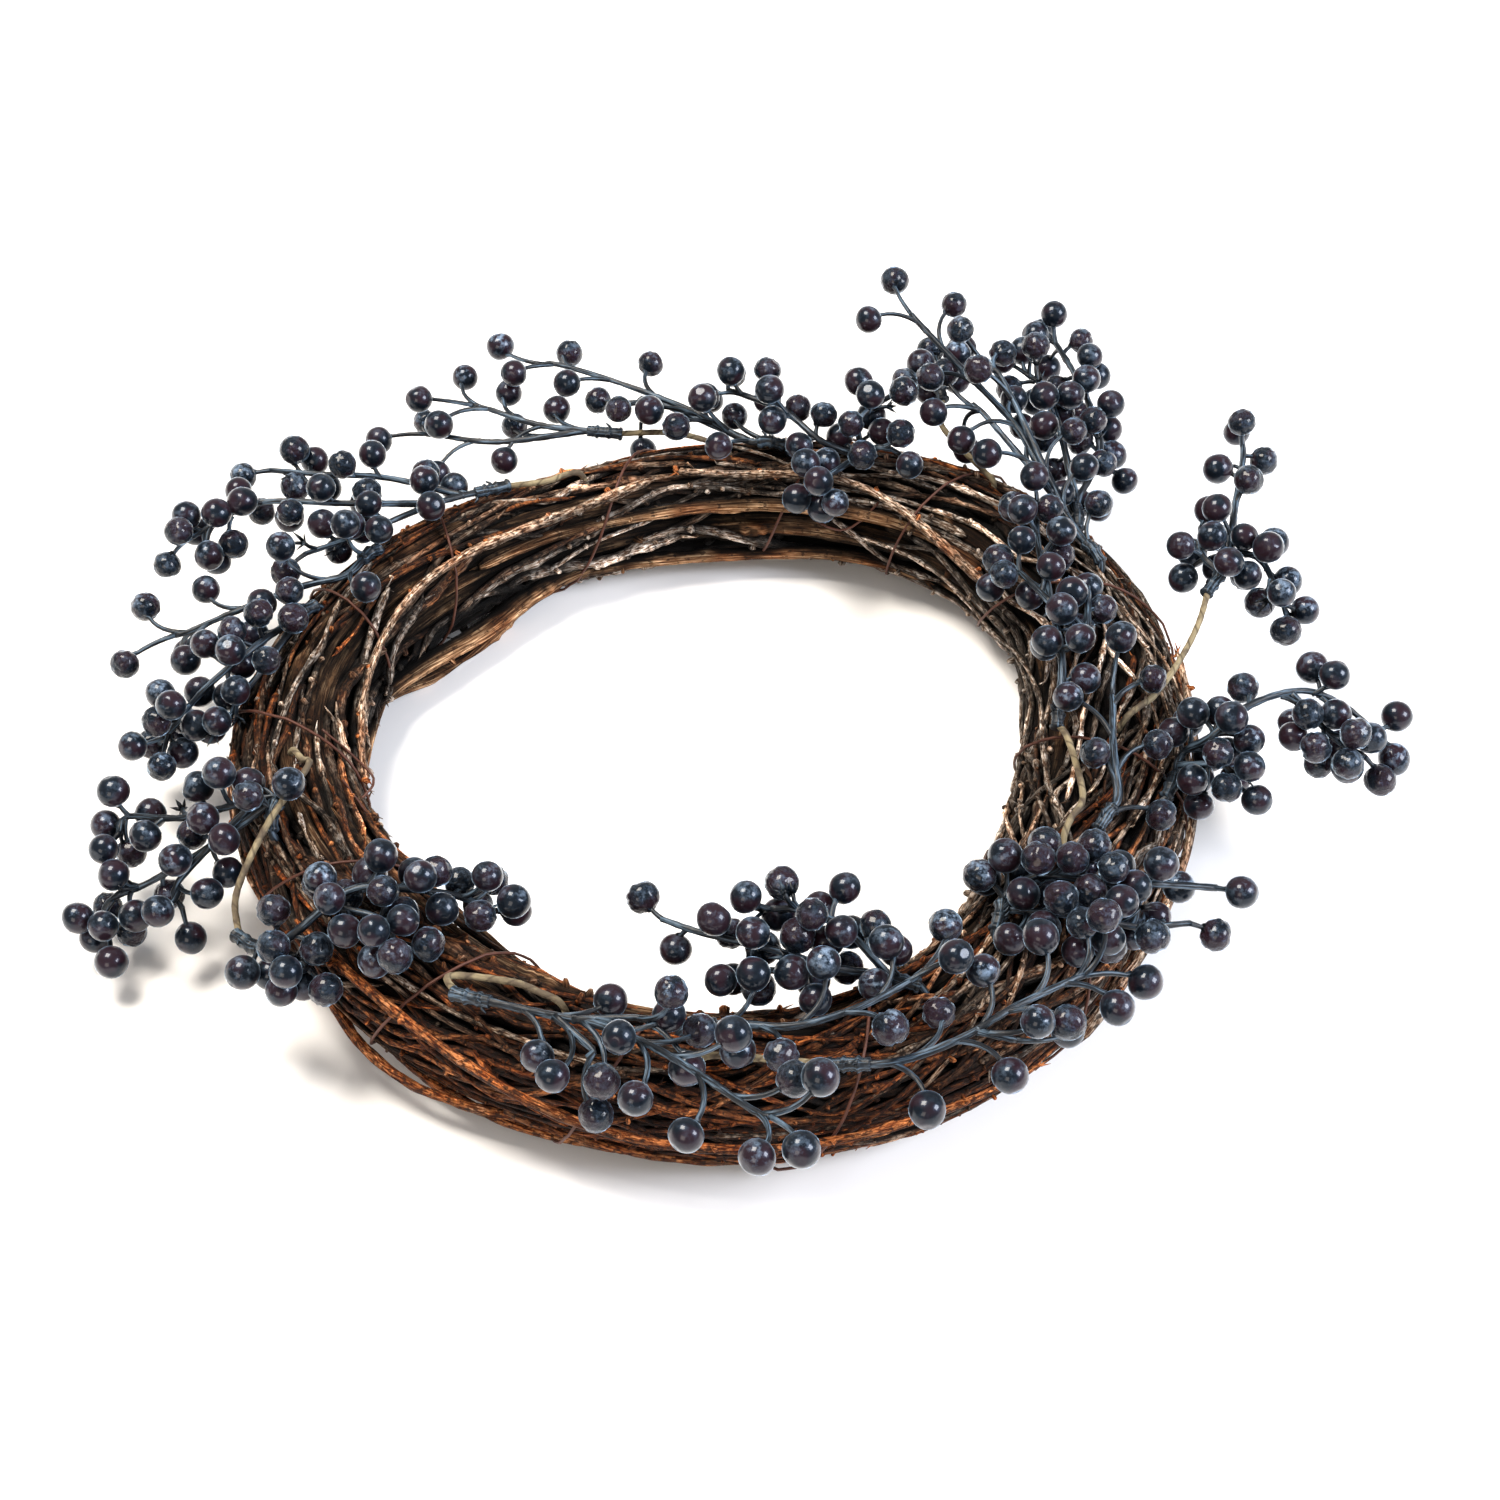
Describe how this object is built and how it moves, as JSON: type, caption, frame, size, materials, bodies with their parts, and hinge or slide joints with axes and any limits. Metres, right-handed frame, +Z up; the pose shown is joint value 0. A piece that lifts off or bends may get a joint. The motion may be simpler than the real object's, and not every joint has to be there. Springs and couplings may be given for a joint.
{
  "type": "wreath",
  "caption": "Round wreath of wound vine twigs tied with rusty wire, with sprays of dark blue berries on wrapped stalks round its rim and an open middle.",
  "frame": {"origin": "in the middle of the wreath's outline, on the surface that it lies on", "axes": "+Z up out of the wreath's face, -Y towards the viewer of the picture, +X to the viewer's right"},
  "size_m": [0.4732, 0.4594, 0.1037],
  "materials": {
    "grey_bark": "rough weathered bark",
    "brown_bark": "dry brown bark",
    "red_bark": "dry red-brown bark",
    "rusty_wire": "matt rust",
    "wrapped_stalk": "matt paper tape",
    "dark_berry": "satin, with a dusty bloom"
  },
  "bodies": {
    "root": {"binding_wire": "rusty_wire", "branch_1": "grey_bark", "branch_2": "grey_bark", "branch_3": "grey_bark", "core_twigs": "brown_bark", "loose_twig_1": "red_bark", "loose_twig_2": "red_bark", "loose_twig_3": "red_bark", "loose_twig_4": "red_bark", "loose_twig_5": "red_bark", "spray_a": "dark_berry", "spray_b": "dark_berry", "spray_c": "dark_berry", "spray_d": "dark_berry", "spray_e": "dark_berry", "spray_f": "dark_berry", "spray_g": "dark_berry", "spray_h": "dark_berry", "spray_i": "dark_berry", "spray_j": "dark_berry", "spray_k": "dark_berry", "spray_l": "dark_berry", "spray_m": "dark_berry", "spray_n": "dark_berry", "spray_o": "dark_berry", "spray_p": "dark_berry", "spray_q": "dark_berry", "spray_r": "dark_berry", "spray_s": "dark_berry", "spray_t": "dark_berry", "stalk_a": "wrapped_stalk", "stalk_e": "wrapped_stalk", "stalk_f": "wrapped_stalk", "stalk_k": "wrapped_stalk", "stalk_m": "wrapped_stalk", "stalk_p": "wrapped_stalk", "stalk_s": "wrapped_stalk", "stalk_t": "wrapped_stalk", "vine_1": "red_bark", "vine_2": "red_bark", "vine_3": "brown_bark", "vine_4": "red_bark"}
  },
  "joints": []
}
